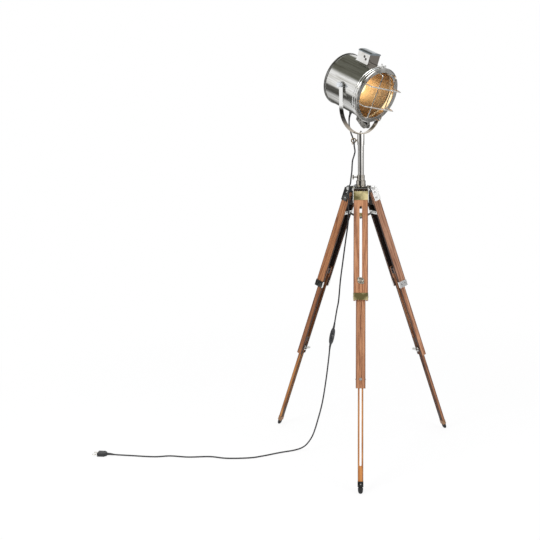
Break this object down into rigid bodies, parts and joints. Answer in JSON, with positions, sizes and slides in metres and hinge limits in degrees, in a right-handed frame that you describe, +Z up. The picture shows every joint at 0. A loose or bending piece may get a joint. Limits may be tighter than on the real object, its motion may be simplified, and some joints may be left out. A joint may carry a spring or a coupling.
{
  "type": "tripod floor lamp",
  "caption": "Tripod floor lamp with telescoping slotted board legs, a centre brace, a sliding mast and a chrome drum spotlight that pans and tilts in a hoop yoke.",
  "frame": {"origin": "on the floor under the axis of the pole, midway between the three feet", "axes": "+Z up along the pole, -Y towards the front leg"},
  "size_m": [1.3998, 0.618, 1.5221],
  "materials": {
    "wood": "satin",
    "pale_wood": "satin",
    "nickel": "polished",
    "chrome": "polished",
    "drum_chrome": "polished",
    "dark_steel": "satin",
    "gold": "polished",
    "porcelain": "glossy",
    "bulb_glass": "clear",
    "glass": "clear",
    "rubber": "matte",
    "cord": "matte",
    "black_plastic": "matte"
  },
  "bodies": {
    "stand": {"tripod_head": "chrome", "pole_clamp": "chrome", "hinge_bolts": "nickel", "cord_hang": "cord", "cord_floor": "cord", "switch_body": "black_plastic", "plug": "black_plastic"},
    "clamp_screw": {"clamp_screw": "chrome"},
    "brace_hub": {"brace_hub": "chrome"},
    "mast": {"pole": "chrome", "cord_mast": "cord"},
    "yoke": {"yoke": "chrome", "yoke_sleeve": "chrome", "cord_yoke": "cord"},
    "ring_screw": {"ring_screw": "nickel"},
    "tilt_knob_left": {"tilt_knob_left": "chrome"},
    "tilt_knob_right": {"tilt_knob_right": "chrome"},
    "head": {"drum": "drum_chrome", "back_cap": "drum_chrome", "junction_box": "chrome", "junction_lid": "chrome", "reflector": "gold", "lamp_holder": "porcelain", "bulb": "bulb_glass", "pivot_bushes": "dark_steel", "cord_gland": "black_plastic", "door_hinge": "nickel", "cord_head": "cord"},
    "door": {"bezel": "chrome", "glass": "glass", "guard": "chrome"},
    "latch_screw": {"latch_screw": "chrome"},
    "rocker": {"switch_rocker": "black_plastic"},
    "leg_front": {"upper_board_front": "wood", "leg_fittings_front": "nickel"},
    "middle_front": {"middle_board_front": "wood"},
    "lower_front": {"lower_board_front": "pale_wood", "ferrule_front": "chrome", "foot_tip_front": "rubber"},
    "upper_wing_front": {"upper_wing_front": "chrome"},
    "lower_wing_front": {"lower_wing_front": "chrome"},
    "brace_arm_front": {"brace_arm_front": "dark_steel"},
    "leg_right": {"upper_board_right": "wood", "leg_fittings_right": "nickel"},
    "middle_right": {"middle_board_right": "wood"},
    "lower_right": {"lower_board_right": "pale_wood", "ferrule_right": "chrome", "foot_tip_right": "rubber"},
    "upper_wing_right": {"upper_wing_right": "chrome"},
    "lower_wing_right": {"lower_wing_right": "chrome"},
    "brace_arm_right": {"brace_arm_right": "dark_steel"},
    "leg_left": {"upper_board_left": "wood", "leg_fittings_left": "nickel"},
    "middle_left": {"middle_board_left": "wood"},
    "lower_left": {"lower_board_left": "pale_wood", "ferrule_left": "chrome", "foot_tip_left": "rubber"},
    "upper_wing_left": {"upper_wing_left": "chrome"},
    "lower_wing_left": {"lower_wing_left": "chrome"},
    "brace_arm_left": {"brace_arm_left": "dark_steel"}
  },
  "joints": [
    {"name": "fold_front", "type": "hinge", "parent": "stand", "child": "leg_front", "pos_m": [0, -0.037, 1.021], "axis": [1, 0, 0], "range_deg": [0, 16]},
    {"name": "arm_front", "type": "hinge", "parent": "leg_front", "child": "brace_arm_front", "pos_m": [0, -0.04813, 0.92608], "axis": [1, 0, 0], "range_deg": [-72, 0]},
    {"name": "middle_slide_front", "type": "slide", "parent": "leg_front", "child": "middle_front", "axis": [0, 0.342, 0.9397], "range_m": [0, 0.265]},
    {"name": "lower_slide_front", "type": "slide", "parent": "middle_front", "child": "lower_front", "axis": [0, 0.342, 0.9397], "range_m": [0, 0.28]},
    {"name": "upper_wing_turn_front", "type": "hinge", "parent": "middle_front", "child": "upper_wing_front", "pos_m": [0, -0.16794, 0.70364], "axis": [0, -0.9397, 0.342], "range_deg": [-180, 180]},
    {"name": "lower_wing_turn_front", "type": "hinge", "parent": "middle_front", "child": "lower_wing_front", "pos_m": [0, -0.26274, 0.36568], "axis": [0, -0.9397, 0.342], "range_deg": [-180, 180]},
    {"name": "fold_right", "type": "hinge", "parent": "stand", "child": "leg_right", "pos_m": [0.03204, 0.0185, 1.021], "axis": [-0.5, 0.866, 0], "range_deg": [0, 16]},
    {"name": "arm_right", "type": "hinge", "parent": "leg_right", "child": "brace_arm_right", "pos_m": [0.04169, 0.02407, 0.92608], "axis": [-0.5, 0.866, 0], "range_deg": [-72, 0]},
    {"name": "middle_slide_right", "type": "slide", "parent": "leg_right", "child": "middle_right", "axis": [-0.2962, -0.171, 0.9397], "range_m": [0, 0.265]},
    {"name": "lower_slide_right", "type": "slide", "parent": "middle_right", "child": "lower_right", "axis": [-0.2962, -0.171, 0.9397], "range_m": [0, 0.28]},
    {"name": "upper_wing_turn_right", "type": "hinge", "parent": "middle_right", "child": "upper_wing_right", "pos_m": [0.14544, 0.08397, 0.70364], "axis": [0.8138, 0.4698, 0.342], "range_deg": [-180, 180]},
    {"name": "lower_wing_turn_right", "type": "hinge", "parent": "middle_right", "child": "lower_wing_right", "pos_m": [0.22754, 0.13137, 0.36568], "axis": [0.8138, 0.4698, 0.342], "range_deg": [-180, 180]},
    {"name": "fold_left", "type": "hinge", "parent": "stand", "child": "leg_left", "pos_m": [-0.03204, 0.0185, 1.021], "axis": [-0.5, -0.866, 0], "range_deg": [0, 16]},
    {"name": "arm_left", "type": "hinge", "parent": "leg_left", "child": "brace_arm_left", "pos_m": [-0.04169, 0.02407, 0.92608], "axis": [-0.5, -0.866, 0], "range_deg": [-72, 0]},
    {"name": "middle_slide_left", "type": "slide", "parent": "leg_left", "child": "middle_left", "axis": [0.2962, -0.171, 0.9397], "range_m": [0, 0.265]},
    {"name": "lower_slide_left", "type": "slide", "parent": "middle_left", "child": "lower_left", "axis": [0.2962, -0.171, 0.9397], "range_m": [0, 0.28]},
    {"name": "upper_wing_turn_left", "type": "hinge", "parent": "middle_left", "child": "upper_wing_left", "pos_m": [-0.14544, 0.08397, 0.70364], "axis": [-0.8138, 0.4698, 0.342], "range_deg": [-180, 180]},
    {"name": "lower_wing_turn_left", "type": "hinge", "parent": "middle_left", "child": "lower_wing_left", "pos_m": [-0.22754, 0.13137, 0.36568], "axis": [-0.8138, 0.4698, 0.342], "range_deg": [-180, 180]},
    {"name": "brace_drop", "type": "slide", "parent": "stand", "child": "brace_hub", "axis": [0, 0, -1], "range_m": [0, 0.0234]},
    {"name": "clamp_turn", "type": "hinge", "parent": "stand", "child": "clamp_screw", "pos_m": [-0.02, 0, 1.062], "axis": [1, 0, 0], "range_deg": [-180, 180]},
    {"name": "mast_slide", "type": "slide", "parent": "stand", "child": "mast", "axis": [0, 0, 1], "range_m": [0, 0.06]},
    {"name": "pan", "type": "hinge", "parent": "mast", "child": "yoke", "pos_m": [0, 0, 1.21199], "axis": [0, 0, 1], "range_deg": [-120, 120]},
    {"name": "ring_turn", "type": "hinge", "parent": "yoke", "child": "ring_screw", "pos_m": [-0.02, 0, 1.19599], "axis": [1, 0, 0], "range_deg": [-10, 90]},
    {"name": "tilt", "type": "hinge", "parent": "yoke", "child": "head", "pos_m": [0, 0, 1.394], "axis": [-0.6984, -0.7157, 0], "range_deg": [-38, 70]},
    {"name": "tilt_knob_turn_left", "type": "hinge", "parent": "head", "child": "tilt_knob_left", "pos_m": [-0.07333, -0.07515, 1.394], "axis": [0.6984, 0.7157, 0], "range_deg": [-180, 180]},
    {"name": "tilt_knob_turn_right", "type": "hinge", "parent": "head", "child": "tilt_knob_right", "pos_m": [0.07333, 0.07515, 1.394], "axis": [0.6984, 0.7157, 0], "range_deg": [-180, 180]},
    {"name": "door_swing", "type": "hinge", "parent": "head", "child": "door", "pos_m": [0.01948, -0.01901, 1.25067], "axis": [0.6984, 0.7157, 0], "range_deg": [0, 95]},
    {"name": "latch_turn", "type": "hinge", "parent": "door", "child": "latch_screw", "pos_m": [0.07743, -0.07556, 1.44876], "axis": [0.2739, -0.2673, 0.9239], "range_deg": [-180, 180]},
    {"name": "rocker_tip", "type": "hinge", "parent": "stand", "child": "rocker", "pos_m": [-0.10563, -0.06734, 0.46612], "axis": [-0.8452, -0.488, 0.2181], "range_deg": [0, 16]}
  ],
  "couplings": [
    {"joint": "arm_front", "follows": "fold_front", "ratio": -4.44},
    {"joint": "fold_right", "follows": "fold_front", "ratio": 1},
    {"joint": "arm_right", "follows": "fold_front", "ratio": -4.44},
    {"joint": "fold_left", "follows": "fold_front", "ratio": 1},
    {"joint": "arm_left", "follows": "fold_front", "ratio": -4.44},
    {"joint": "brace_drop", "follows": "fold_front", "m_per_rad": 0.082}
  ]
}
